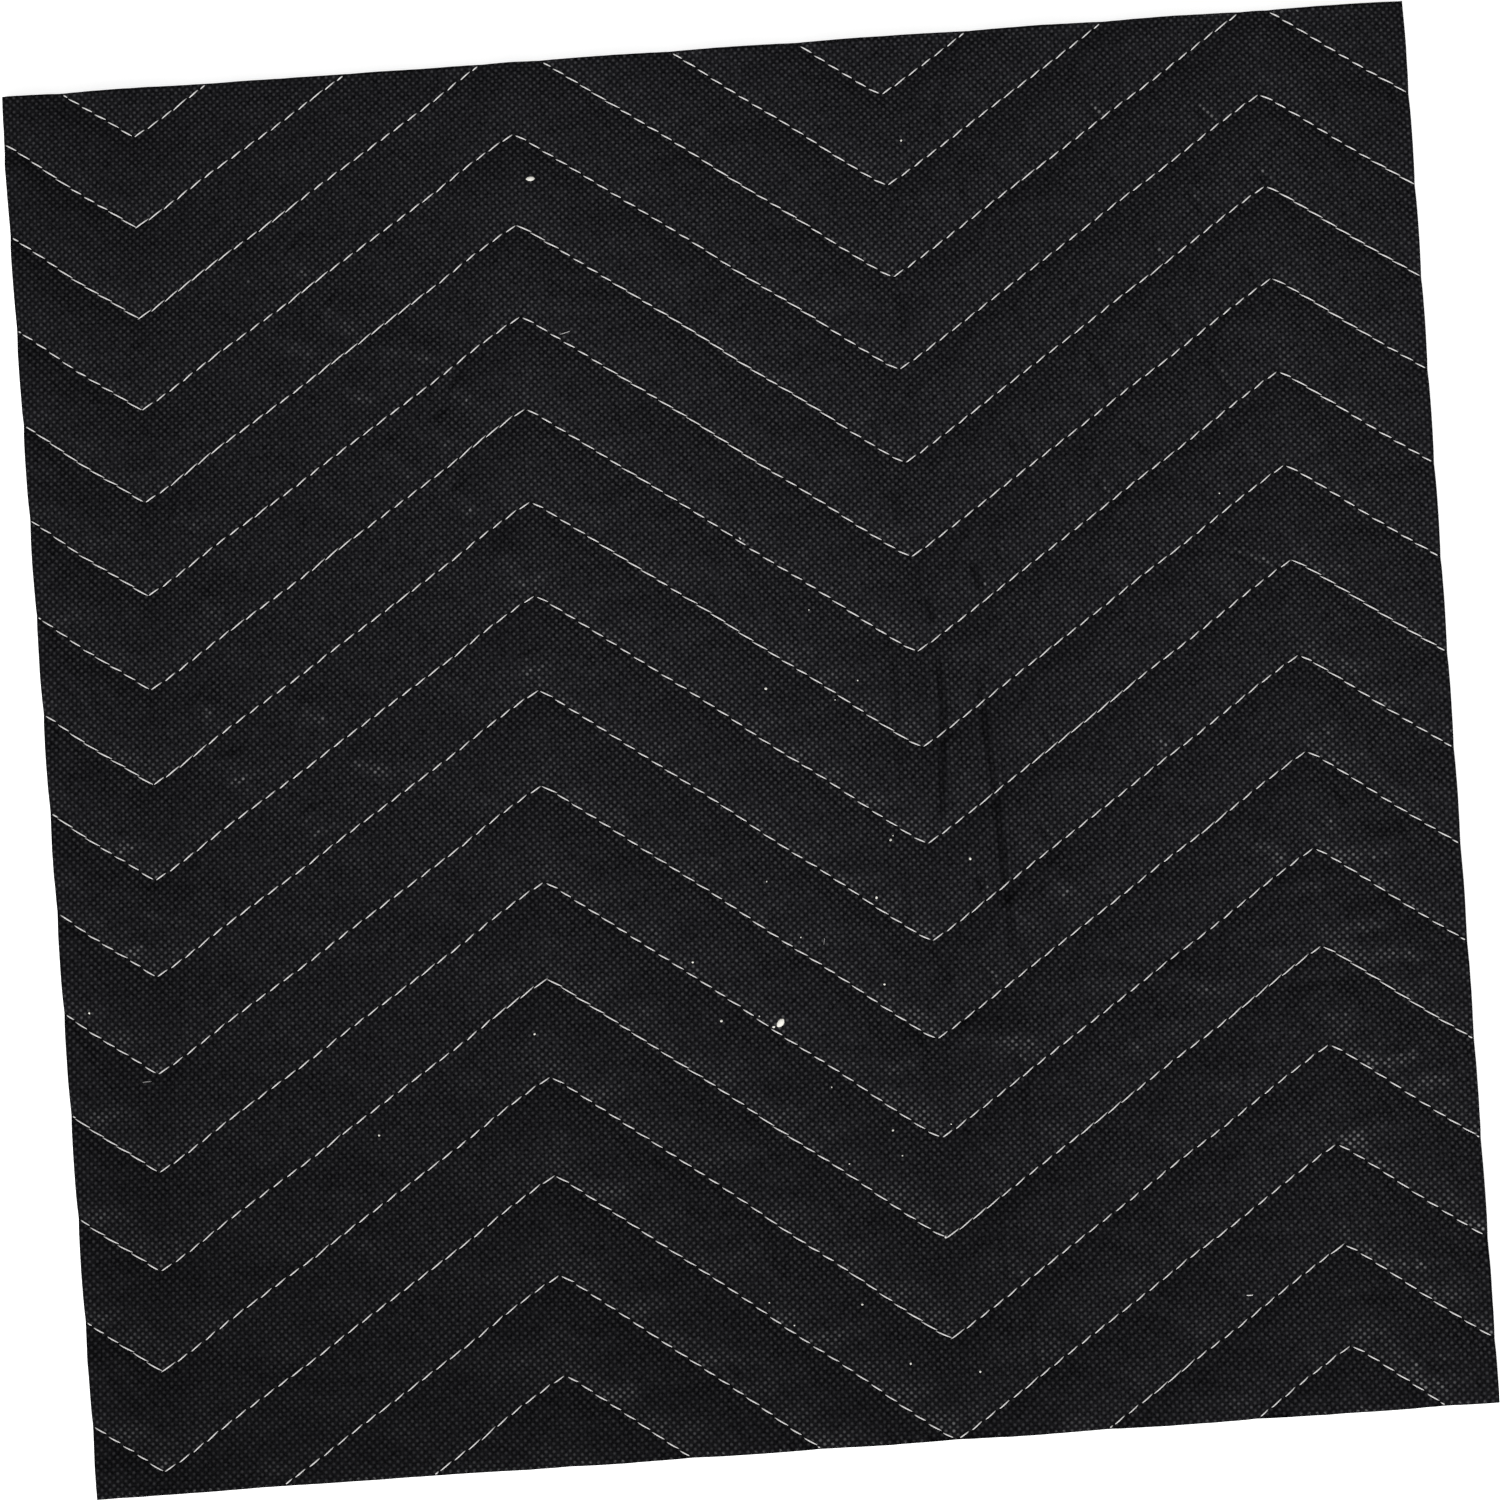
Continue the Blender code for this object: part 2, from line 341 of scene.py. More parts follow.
# Folds as they lie on the pad, in millimetres: those over 0 stand up as ridges, the others sink in as creases
folds = [
    {"kind": "creases at the right valleys", "height": -1.1, "width": 0.85, "lines": [
        [(51, 23), (52, 9), (50, -12), (50, -22)], [(62, 46), (64, 38)],
        [(62, 19), (62.5, 1), (64, -11), (64.8, -31), (66, -58)], [(49, 38), (51, 31)],
        [(58, -37), (59, -41)]]},
    {"kind": "fainter creases beside them", "height": -0.5, "width": 0.85, "lines": [
        [(40, 26), (39, 8), (39, -13)], [(38, -37), (39, -48)], [(47, 47), (48, 34)], [(57, -60), (61, -67)],
        [(77, 4), (80, -4)], [(75, -24), (78, -29)], [(44, -52), (49, -65)], [(67, 56), (70, 45)],
        [(43, 66), (43, 58)], [(38, 86), (40, 79)], [(65, -84), (67, -91), (65.5, -111)],
        [(57, -121), (57.5, -132), (59, -145)], [(61, -142), (64, -155), (65, -171)]]},
    {"kind": "ripples under the right peaks", "height": -0.55, "width": 1.0, "lines": [
        [(61, 168), (62, 161)], [(65, 152), (67, 140)], [(47, 119), (49, 109)], [(77, 114), (82, 103)],
        [(96, 102), (102, 88)], [(94, 115), (94, 109)], [(115, 110), (120, 102)], [(126, 97), (134, 86)],
        [(139, 120), (142, 115)], [(125, 141), (130, 133)], [(115, 130), (117, 122)], [(75, 78), (77, 70)],
        [(96, 66), (99, 61)], [(129, 44), (141, 39)], [(143, 147), (147, 141)], [(105, 77), (111, 72)],
        [(101, 165), (104, 160)], [(129, 162), (136, 156)]]},
    {"kind": "hollows by the right edge", "height": -0.35, "width": 1.9, "lines": [
        [(137, -49), (154, -47)], [(157, -60), (165, -59)], [(138, -72), (155, -71)],
        [(169, -69), (175, -69)], [(88, -61), (104, -66)], [(160, -91), (167, -89)],
        [(145, -156), (161, -155)], [(167, -175), (175, -173)]]},
    {"kind": "ridges by the right edge", "height": 0.85, "width": 2.2, "lines": [
        [(151, -4), (158, 0)], [(152, -56), (162, -55), (168, -53)], [(130, -61), (138, -62)],
        [(151, -80), (157, -78)], [(159, -84), (167, -85)], [(169, -97), (181, -97)],
        [(161, -92), (172, -90)], [(117, -96), (125, -95)], [(126, -84), (142, -82)],
        [(95, -86), (104, -79), (112, -77)],
        [(104, -66), (128, -72)], [(144, -114), (163, -107)], [(165, -147), (177, -146)],
        [(162, -173), (181, -170)], [(161, -38), (172, -34)],
        [(150, -28), (156, -24)], [(164, -63), (176, -64)], [(29, -86), (41, -81)], [(49, -78), (73, -80)],
        [(109, -6), (114, -4)], [(52, 0), (58, -11)], [(77, -35), (83, -43)],
        [(65, -44), (70, -50)], [(131, -32), (142, -38)]]},
    {"kind": "ridges on the left", "height": 1.05, "width": 2.1, "lines": [
        [(-118, 119), (-111, 116), (-107, 113)], [(-92, 113), (-84, 113.5), (-75, 110)],
        [(-113, 141), (-107, 135)], [(-128, 140), (-122, 134)], [(-104, 126), (-96, 119)],
        [(-101, 104), (-92, 100)], [(-91, 88), (-83, 79)], [(-77, 94), (-73, 87)], [(-72, 102), (-67, 98)],
        [(-64, 58), (-57, 54), (-55, 48)], [(-73, 75), (-68, 69)], [(-142, 51), (-135, 46)],
        [(-149, 73), (-143, 73), (-141, 69)], [(-118, 21), (-110, 17)], [(-106, 6), (-94, 2)],
        [(-145, 24), (-140, 21)], [(-138, 9), (-135, 1)], [(-57, 30), (-55, 25)], [(-118, -7), (-114, -14)]]},
    {"kind": "softer ridges lower on the left", "height": 0.45, "width": 1.8, "lines": [
        [(-169, -34), (-166, -42)], [(-177, -28), (-173, -33)], [(-149, -49), (-139, -55)],
        [(-168, -10), (-167, -15)], [(-147, -97), (-138, -102)], [(-120, -108), (-108, -110)],
        [(-161, -25), (-162, -33)], [(-155, -32), (-150, -35)], [(-113, -122), (-107, -123)],
        [(-134, -83), (-127, -88)], [(-146, -76), (-141, -80)]]},
]
foldReach = {"relief": 5.0, "finerMesh": 1.8, "cell": 0.003}  # the first two in widths
foldShape = {
    "ridgeFront": 1.2, "ridgeBack": 2.2,  # in widths: a ridge is steep in front and falls away gently behind
    "lip": 0.45, "lipAway": 1.7,  # the cloth heaped up on one side of a crease, and how far from it
    "endRise": 5, "endStart": 0.25,  # a fold rises from its ends to its full height
    "seamBlend": 0.07,  # the share of a band, from its seam, over which folds come in
}


def foldAt(line, x, y):  # how far a place lies from a fold, on which side of it, and how far along
    best = (1e9, 1, 0.0)
    for i in range(len(line) - 1):
        a, b = Vector(line[i]) / 1000, Vector(line[i + 1]) / 1000
        run = b - a
        share = min(max((Vector((x, y)) - a).dot(run) / run.length_squared, 0), 1)
        away = Vector((x, y)) - (a + run * share)
        if away.length < best[0]:
            side = math.copysign(1, run.x * away.y - run.y * away.x)
            best = (away.length, side, (i + share) / (len(line) - 1))
    return best


def foldRelief(kind, line, x, y):  # the height that a fold adds, and how deep in it the place lies, which sets the painted shade in a crease
    away, side, where = foldAt(line, x, y)
    width = kind["width"] / 1000
    if away > foldReach["relief"] * width:
        return 0.0, 0.0
    ends = smoothStep(min(where, 1 - where) * foldShape["endRise"] + foldShape["endStart"])
    if kind["height"] > 0:
        lean = foldShape["ridgeBack" if side > 0 else "ridgeFront"]
        return kind["height"] / 1000 * ends * math.exp(-(away / width / lean) ** 2), 0.0
    core = math.exp(-(away / width) ** 2)
    lip = foldShape["lip"] * math.exp(-((side * away - foldShape["lipAway"] * width) / width) ** 2)
    return kind["height"] / 1000 * ends * (core - lip), ends * core * min(1, -kind["height"])


def cellOf(x, y):
    return math.floor(x / foldReach["cell"]), math.floor(y / foldReach["cell"])


def foldsByCell():  # which folds to look at for each small square of the pad
    found = {}
    for kind in folds:
        ring = math.ceil(foldReach["relief"] * kind["width"] / 1000 / foldReach["cell"])
        for line in kind["lines"]:
            for a, b in zip(line, line[1:]):
                steps = math.ceil(math.dist(a, b)) + 1
                for i in range(steps + 1):
                    here = Vector(a).lerp(Vector(b), i / steps) / 1000
                    cx, cy = cellOf(here.x, here.y)
                    for dx in range(-ring, ring + 1):
                        for dy in range(-ring, ring + 1):
                            nearby = found.setdefault((cx + dx, cy + dy), [])
                            if all(line is not other for _, other in nearby):
                                nearby.append((kind, line))
    return found


# The cut edge: how far up the wall each line runs, and how far it stands back from the cut
cutEdge = {
    "profile": [(0.03, 0.0002), (0.09, 0.0000), (0.17, 0.0004), (0.30, 0.0009), (0.55, 0.0010),
                (0.78, 0.0008), (0.88, 0.0003), (0.94, 0.0000), (0.98, 0.0002)],
    "ragged": 0.00025,
    "raggedPatch": 0.004,
    "raggedRise": 0.01,  # how far the raggedness shifts up the height of the wall
    "covered": 0.0003,  # the cover wraps the edge down to here, and filling shows further back
    "coverFade": 0.0004,
    "onCut": 1e-5,
}


def trimToSquare(bm, layers):  # and presses in the needle holes and the edges
    for turn in range(4):
        outwards = Matrix.Rotation(turn * math.pi / 2, 3, "Z") @ Vector((1, 0, 0))
        bmesh.ops.bisect_plane(bm, geom=bm.verts[:] + bm.edges[:] + bm.faces[:], plane_co=outwards * halfSide,
                               plane_no=outwards, clear_outer=True)
    for vert in bm.verts:
        hole = pad["holeDimple"] * (0.5 + 0.5 * math.cos(2 * math.pi * vert[layers["stitch"]]))
        vert.co.z -= hole * math.exp(-distanceToSeam(vert[layers["row"]]) / pad["holeReach"])
        vert.co.z *= edgeShare(*vert.co.xy)


def closeUnderneath(bm, layers, wall):  # the sheet's copy on top keeps its height, and its own faces lie flat
    for vert in bm.verts:
        vert[wall["low"]], vert[wall["high"]] = undersideHeight(vert[layers["row"]]), vert.co.z
    made = bmesh.ops.extrude_face_region(bm, geom=bm.faces[:], use_keep_orig=True)["geom"]
    for item in made:
        if isinstance(item, bmesh.types.BMVert):
            item[wall["level"]] = 1
    for vert in bm.verts:
        if vert[wall["level"]] < 0.5:
            vert.co.z = vert[wall["low"]]
    bmesh.ops.recalc_face_normals(bm, faces=bm.faces[:])


def shapeCutEdges(bm, wall, edgeLayer):
    steps = len(cutEdge["profile"]) + 1
    level = wall["level"]
    upright = [edge for edge in bm.edges if abs(edge.verts[0][level] - edge.verts[1][level]) > 0.5]
    bmesh.ops.subdivide_edges(bm, edges=upright, cuts=steps - 1, use_grid_fill=False)
    for vert in bm.verts:
        step = round(vert[level] * steps)
        if 0 < step < steps:
            up, back = cutEdge["profile"][step - 1]
            x, y = vert.co.xy
            uneven = unevenness(x + y, x - y + up * cutEdge["raggedRise"], cutEdge["raggedPatch"], seed=9)
            back += cutEdge["ragged"] * 0.5 * (1 + uneven)
            for axis in (0, 1):
                if abs(abs(vert.co[axis]) - halfSide) < cutEdge["onCut"]:
                    vert.co[axis] -= math.copysign(back, vert.co[axis])
            vert.co.z = vert[wall["low"]] + up * (vert[wall["high"]] - vert[wall["low"]])
            vert[edgeLayer] = smoothStep((back - cutEdge["covered"]) / cutEdge["coverFade"])


def onTop(vert, wall):
    return vert[wall["level"]] > 0.99


def layFolds(bm, layers, wall):
    byCell = foldsByCell()
    near = []
    for face in bm.faces:
        if not all(onTop(vert, wall) for vert in face.verts):
            continue
        x, y = face.calc_center_median().xy
        for kind, line in byCell.get(cellOf(x, y), []):
            if foldAt(line, x, y)[0] < foldReach["finerMesh"] * kind["width"] / 1000:
                near.append(face)
                break
    edges = dict.fromkeys(edge for face in near for edge in face.edges)  # each once, in a fixed order
    bmesh.ops.subdivide_edges(bm, edges=list(edges), cuts=1, use_grid_fill=True)
    # a mask of painted shade, deep in the creases and right beside the seams
    paintedShadeLayer = bm.verts.layers.float.new("paintedShadeMask")
    for vert in bm.verts:
        if onTop(vert, wall):
            x, y = vert.co.xy
            toSeam = distanceToSeam(vert[layers["row"]])
            clear = smoothStep(toSeam / foldShape["seamBlend"])
            for kind, line in byCell.get(cellOf(x, y), []):
                rise, depth = foldRelief(kind, line, x, y)
                vert.co.z += rise * clear
                vert[paintedShadeLayer] = max(vert[paintedShadeLayer], depth * clear)
            # painted shade beside each seam
            vert[paintedShadeLayer] = max(vert[paintedShadeLayer], 1 - smoothStep(toSeam / pad["seamShadeReach"]))


def closePad(cover):  # trims the cover to the square and adds the underside, the cut edges and the folds
    bm = bmesh.new()
    bm.from_mesh(cover.data)
    layers = {name: bm.verts.layers.float[name] for name in sheetLayers}
    edgeLayer = bm.verts.layers.float.new("cutEdge")
    trimToSquare(bm, layers)
    wall = {name: bm.verts.layers.float.new(name) for name in ("level", "low", "high")}
    closeUnderneath(bm, layers, wall)
    shapeCutEdges(bm, wall, edgeLayer)
    layFolds(bm, layers, wall)
    weave = bm.loops.layers.uv.new("clothWeave")
    for face in bm.faces:
        for loop in face.loops:
            loop[weave].uv = (loop.vert[layers["along"]], loop.vert[layers["across"]])
    bm.to_mesh(cover.data)
    bm.free()
    cover.data.shade_smooth()


swollenCover = swell()
padBody = laySheet("quilted_cover", pad["columnsPerStitch"], pad["linesAcrossBand"], swollenCover)
print("cover laid out,", len(padBody.data.vertices), "points")
closePad(padBody)
print("pad closed,", len(padBody.data.polygons), "faces")


thread = {
    "width": 0.00035,
    "pitch": 0.0044,
    "openLength": 0.00365,
    "closeLength": 0.0041,
    "runOnLength": 0.0046,
    "arch": 0.00045,
    "proud": 0.00012,
    "turn": math.radians(5.0),  # each stitch lies a little askew to its row
    "fromCut": 0.0003,  # a stitch at the cut ends this far inside it
    "shortest": 0.0009,
    "runOnRise": 0.0001,  # stitches that run together stand a little higher
    "runOnChance": 0.02, "closeChance": 0.12,
    # each stitch draws its own length, turn and width: the least share, and the range over it
    "lengthDraw": (0.95, 0.12), "turnDraw": (0.75, 0.5), "widthDraw": (0.93, 0.14),
    "sides": 6,
    "segments": 5,
    "middleWidth": 1.04, "endSlimming": 0.66, "slimmingPower": 2.6,
}

# Where the stitches of a row run together, from the first to the last of them
runTogether = {
    -8: [(98, 100)],
    -6: [(25, 28), (81, 84)],
    -5: [(23, 26), (52, 60), (65, 66), (71, 73), (84, 87), (94, 97), (105, 110), (113, 120)],
    -4: [(22, 26)],
    -3: [(104, 105)],
    -2: [(113, 114)],
    -1: [(21, 23), (92, 99), (112, 121)],
    0: [(22, 27), (29, 31), (61, 64), (67, 72), (81, 82)],
    1: [(40, 42), (51, 54), (63, 64), (113, 115)],
    2: [(23, 24), (26, 27), (62, 64), (66, 73), (114, 118)],
    3: [(20, 26), (30, 33), (41, 48), (56, 58), (63, 64), (66, 73), (75, 78), (113, 121)],
    4: [(26, 27), (39, 41), (72, 73), (76, 77), (120, 122)],
    5: [(22, 27), (28, 34), (38, 39), (71, 73), (76, 77)],
    6: [(21, 22), (26, 29)],
    7: [(50, 51)],
}


def copyOf(model, laid):  # a copy with its own mesh, moved to its place
    copy = model.copy()
    copy.data = model.data.copy()
    copy.data.transform(laid)
    bpy.context.scene.collection.objects.link(copy)
    return copy


def leaveEditMode():
    bpy.ops.mesh.select_all(action="DESELECT")
    bpy.ops.object.mode_set(mode="OBJECT")


def oneStitch():
    length, radius = thread["openLength"], thread["width"] / 2
    bpy.ops.mesh.primitive_cylinder_add(vertices=thread["sides"], radius=radius, depth=length,
                                        rotation=(0, math.pi / 2, 0))
    stitch = bpy.context.object
    stitch.name = "oneStitch"
    bpy.ops.object.transform_apply(location=True, rotation=True, scale=True)
    bpy.ops.object.mode_set(mode="EDIT")
    bpy.ops.mesh.select_mode(type="EDGE")
    leaveEditMode()
    for edge in stitch.data.edges:
        a, b = (stitch.data.vertices[i].co for i in edge.vertices)
        edge.select = abs(a.x - b.x) > length / 2
    bpy.ops.object.mode_set(mode="EDIT")
    bpy.ops.mesh.subdivide(number_cuts=thread["segments"] - 1)
    leaveEditMode()
    for ring in range(thread["segments"] + 1):
        place = -1 + 2 * ring / thread["segments"]  # -1 to 1 along the stitch
        for vert in stitch.data.vertices:
            vert.select = abs(vert.co.x - place * length / 2) < length / thread["segments"] / 3
        bpy.ops.object.mode_set(mode="EDIT")
        bpy.ops.mesh.select_mode(type="VERT")
        slim = thread["middleWidth"] - thread["endSlimming"] * abs(place) ** thread["slimmingPower"]
        bpy.ops.transform.resize(value=(1, slim, slim))
        bpy.ops.transform.translate(value=(0, 0, -thread["arch"] * abs(place) ** 2))
        leaveEditMode()
    stitch.data.shade_smooth()
    bpy.ops.object.select_all(action="DESELECT")
    return stitch


def joined(copies, name):
    bpy.ops.object.select_all(action="DESELECT")
    for copy in copies:
        copy.select_set(True)
    bpy.context.view_layer.objects.active = copies[0]
    bpy.ops.object.join()
    piece = bpy.context.object
    piece.name = piece.data.name = name
    bpy.ops.object.select_all(action="DESELECT")
    return piece


def cutAtEdge(a, b):  # a stitch that crosses the cut edge ends there
    limit = halfSide - thread["fromCut"]
    for axis in (0, 1):
        for inner, outer in ((a, b), (b, a)):
            if abs(inner[axis]) < limit < abs(outer[axis]):
                share = (limit - abs(inner[axis])) / (abs(outer[axis]) - abs(inner[axis]))
                outer.xy = inner.lerp(outer, share)


def drawnShare(draw, drawn):
    least, span = draw
    return least + span * drawn


def sewRows(stitch, name, seed, underneath):
    draws = random.Random(seed)
    copies = []
    for row in range(quilting["firstRow"], quilting["lastRow"] + 1):
        for place in range(quilting["firstStitch"], quilting["lastStitch"]):
            a, b = onPad(rowPoint(row, place)), onPad(rowPoint(row, place + 1))
            drawn = [draws.random() for _ in range(5)]
            cutAtEdge(a, b)
            middle = (a + b) / 2
            pitch = (b - a).length
            if max(abs(middle.x), abs(middle.y)) > halfSide or pitch < thread["shortest"]:
                continue
            runsOn = drawn[0] < thread["runOnChance"]
            if any(first <= place <= last for first, last in runTogether.get(row, [])):
                runsOn = True
            length = thread["openLength"] * drawnShare(thread["lengthDraw"], drawn[1])
            if runsOn:
                length = thread["runOnLength"]
            elif drawn[2] < thread["closeChance"]:
                length = thread["closeLength"]
            length *= pitch / thread["pitch"]
            heading = math.atan2(b.y - a.y, b.x - a.x)
            heading += thread["turn"] * drawnShare(thread["turnDraw"], drawn[3])
            if underneath:
                rise = undersideHeight(row) - thread["proud"]
            else:
                rise = seamHeight(*middle) + thread["proud"] + (thread["runOnRise"] if runsOn else 0)
            width = drawnShare(thread["widthDraw"], drawn[4])
            size = Matrix.Diagonal((length / thread["openLength"], width, -width if underneath else width, 1))
            turned = Matrix.Rotation(heading, 4, "Z") @ size
            copies.append(copyOf(stitch, Matrix.Translation((middle.x, middle.y, rise)) @ turned))
            if underneath:
                copies[-1].data.flip_normals()
    print(name, len(copies), "stitches")
    return joined(copies, name)


firstStitch = oneStitch()
topStitches = sewRows(firstStitch, "quilting_stitches", seed=7, underneath=False)
undersideStitches = sewRows(firstStitch, "underside_stitches", seed=11, underneath=True)

# Loose thread ends and lint as they lie on the pad: place, length and width in millimetres, turn in degrees
threadEnds = [
    ((1.2, 56.1), 1.1, 0.30, -52),
    ((42.8, -132.3), 1.2, 0.55, -84),
    ((122, -153), 2.4, 0.30, -2),
    ((-165.4, -76.6), 2.9, 0.09, 4),
    ((-41, 113.6), 3.2, 0.13, 15),
    ((16.1, -51.9), 2.6, 0.07, 80)]
flakes = [
    ((-47.5, 154.7), 2.3, 1.25, 2),
    ((3.1, -72.6), 2.7, 1.8, 50),
    ((1.2, -73.6), 0.8, 0.6, 10)]
# Specks by size in millimetres
specks = {
    0.75: [(-12.5, -71), (35.5, -26.3), (30.7, -41.3), (56.1, -32.7), (5.3, 15.9)],
    0.6: [(31.2, -64.3), (30.8, -103), (31.2, -164.8), (49.4, -168.2), (19.5, -148.4), (-62, -71), (51, 158),
          (-179.2, -57.4), (-105, -95), (-19, -55)],
    0.38: [(128.6, 59.2), (2, -35), (10, -50.4), (29.7, 16.4), (23.4, 11.7), (32.8, -109.8), (18.7, -111.1),
           (15.4, -90.5), (46.3, -102.5), (-5, -146.3), (1.2, -152.8), (18.1, 35.9), (-2.4, -70.5),
           (36.2, -25.2)],
}
lint = {
    "thickness": 0.28,
    "endsFrom": 0.3, "endWidth": 0.72, "endThickness": 0.6,
    "rough": 0.07, "roughPatch": 0.35,
    "speckWidth": 0.9, "speckTurn": 40,
    "flakeRise": 0.08, "threadRise": 0.35,  # how high a piece lies over the cover, in its own widths
    "lookFrom": 0.05,  # the cover is felt for from this height
}


def coverTop(x, y):  # the height of the cover and which way it faces there
    _, place, facing, _ = padBody.ray_cast((x, y, lint["lookFrom"]), (0, 0, -1))
    return place.z, facing


def layOnCover(model, spot, rise):
    place, length, width, turn = spot
    x, y = place[0] / 1000, place[1] / 1000
    height, facing = coverTop(x, y)
    tilt = Vector((0, 0, 1)).rotation_difference(facing).to_matrix().to_4x4()
    turned = tilt @ Matrix.Rotation(math.radians(turn), 4, "Z")
    laid = Matrix.Translation((x, y, height + width / 1000 * rise)) @ turned
    return copyOf(model, laid @ Matrix.Diagonal((length / 1000, width / 1000, width / 1000, 1)))


def oneFlake():  # a crumb of white fibre, 1 long and 1 wide before it is laid
    bpy.ops.mesh.primitive_ico_sphere_add(subdivisions=2, radius=0.5)
    flake = bpy.context.object
    bpy.ops.object.mode_set(mode="EDIT")
    bpy.ops.transform.resize(value=(1, 1, lint["thickness"]))
    leaveEditMode()
    for vert in flake.data.vertices:
        vert.select = abs(vert.co.x) > lint["endsFrom"]
    bpy.ops.object.mode_set(mode="EDIT")
    bpy.ops.mesh.select_mode(type="VERT")
    bpy.ops.transform.resize(value=(1, lint["endWidth"], lint["endThickness"]))
    leaveEditMode()
    for vert in flake.data.vertices:
        vert.co += vert.normal * lint["rough"] * unevenness(vert.co.x, vert.co.y, lint["roughPatch"], seed=4)
    flake.data.shade_smooth()
    bpy.ops.object.select_all(action="DESELECT")
    return flake


bpy.context.view_layer.update()
toUnit = Matrix.Diagonal((1 / thread["openLength"], 1 / thread["width"], 1 / thread["width"], 1))
firstStitch.data.transform(toUnit)  # 1 long and 1 wide, as the flake is
laidEnds = [layOnCover(firstStitch, spot, lint["threadRise"]) for spot in threadEnds]
looseEnds = joined(laidEnds, "loose_thread_ends")
firstFlake = oneFlake()
flakes += [(place, size, size * lint["speckWidth"], lint["speckTurn"] * i)
           for size, places in specks.items() for i, place in enumerate(places)]
laidFlakes = [layOnCover(firstFlake, spot, lint["flakeRise"]) for spot in flakes]
lintFlakes = joined(laidFlakes, "lint_flakes")
bpy.data.objects.remove(firstStitch)
bpy.data.objects.remove(firstFlake)
print("lint and thread ends laid on the cover")


def newGroup(name, inputs, outputs):
    group = bpy.data.node_groups.new(name, "ShaderNodeTree")
    for socket, kind, value in inputs:
        made = group.interface.new_socket(name=socket, in_out="INPUT", socket_type="NodeSocket" + kind)
        if value is not None:
            made.default_value = value
    for socket, kind in outputs:
        group.interface.new_socket(name=socket, in_out="OUTPUT", socket_type="NodeSocket" + kind)
    return group, group.nodes.new("NodeGroupInput"), group.nodes.new("NodeGroupOutput")


def mathNode(tree, operation, a, b=None):
    node = tree.nodes.new("ShaderNodeMath")
    node.operation = operation
    for socket, value in zip(node.inputs, (a, b)):
        if value is None:
            continue
        if isinstance(value, (int, float)):
            socket.default_value = value
        else:
            tree.links.new(value, socket)
    return node.outputs[0]


def times(tree, a, b):
    return mathNode(tree, "MULTIPLY", a, b)


def plus(tree, a, b):
    return mathNode(tree, "ADD", a, b)


def minus(tree, a, b):
    return mathNode(tree, "SUBTRACT", a, b)


def rangeNode(tree, value, fromLow, fromHigh, toLow, toHigh, smooth=False):
    node = tree.nodes.new("ShaderNodeMapRange")
    if smooth:
        node.interpolation_type = "SMOOTHSTEP"
    tree.links.new(value, node.inputs["Value"])
    ends = {"From Min": fromLow, "From Max": fromHigh, "To Min": toLow, "To Max": toHigh}
    for socket, number in ends.items():
        if isinstance(number, (int, float)):
            node.inputs[socket].default_value = number
        else:
            tree.links.new(number, node.inputs[socket])
    return node.outputs["Result"]


def mixColour(tree, share, a, b):
    node = tree.nodes.new("ShaderNodeMix")
    node.data_type = "RGBA"
    for socket, value in ((node.inputs["Factor"], share), (node.inputs[6], a), (node.inputs[7], b)):
        if isinstance(value, (int, float, tuple)):
            socket.default_value = value
        else:
            tree.links.new(value, socket)
    return node.outputs[2]


def noiseNode(tree, place, scale, detail=2.0, roughness=0.5, stretch=None):
    node = tree.nodes.new("ShaderNodeTexNoise")
    node.inputs["Scale"].default_value = scale
    node.inputs["Detail"].default_value = detail
    node.inputs["Roughness"].default_value = roughness
    if stretch:
        mapping = tree.nodes.new("ShaderNodeMapping")
        mapping.inputs["Rotation"].default_value = stretch[0]
        mapping.inputs["Scale"].default_value = stretch[1]
        tree.links.new(place, mapping.inputs["Vector"])
        place = mapping.outputs["Vector"]
    tree.links.new(place, node.inputs["Vector"])
    return node.outputs["Fac"]


pointFade = {"inner": 0.10, "outer": 0.82}  # a point is whole inside the first and gone past the second


def embossGroup():  # the bonding points pressed into the cloth, on a lattice turned 45 degrees
    group, given, put = newGroup(
        "embossPoints",
        [("Place", "Vector", None), ("Spacing Along", "Float", 0.00208), ("Spacing Across", "Float", 0.0020),
         ("Point Size", "Float", 0.0007), ("Unevenness", "Float", 0.5)],
        [("Point", "Float"), ("Height", "Float")])
    split = group.nodes.new("ShaderNodeSeparateXYZ")
    group.links.new(given.outputs["Place"], split.inputs[0])
    along = mathNode(group, "DIVIDE", split.outputs["X"], given.outputs["Spacing Along"])
    across = mathNode(group, "DIVIDE", split.outputs["Y"], given.outputs["Spacing Across"])
    first, second = plus(group, along, across), minus(group, along, across)
    cells = group.nodes.new("ShaderNodeCombineXYZ")
    group.links.new(mathNode(group, "FLOOR", first), cells.inputs["X"])
    group.links.new(mathNode(group, "FLOOR", second), cells.inputs["Y"])
    chance = group.nodes.new("ShaderNodeTexWhiteNoise")
    chance.noise_dimensions = "2D"
    group.links.new(cells.outputs[0], chance.inputs["Vector"])
    firstPart = minus(group, mathNode(group, "FRACT", first), 0.5)
    secondPart = minus(group, mathNode(group, "FRACT", second), 0.5)
    halfAlong = times(group, given.outputs["Spacing Along"], 0.5)
    halfAcross = times(group, given.outputs["Spacing Across"], 0.5)
    offAlong = times(group, plus(group, firstPart, secondPart), halfAlong)
    offAcross = times(group, minus(group, firstPart, secondPart), halfAcross)
    squares = plus(group, times(group, offAlong, offAlong), times(group, offAcross, offAcross))
    away = mathNode(group, "SQRT", squares)
    inner = times(group, given.outputs["Point Size"], pointFade["inner"])
    outer = times(group, given.outputs["Point Size"], pointFade["outer"])
    point = rangeNode(group, away, inner, outer, 1.0, 0.0, smooth=True)
    brightness = minus(group, 1.0, times(group, chance.outputs["Value"], given.outputs["Unevenness"]))
    group.links.new(times(group, point, brightness), put.inputs["Point"])
    group.links.new(times(group, point, -1.0), put.inputs["Height"])
    return group


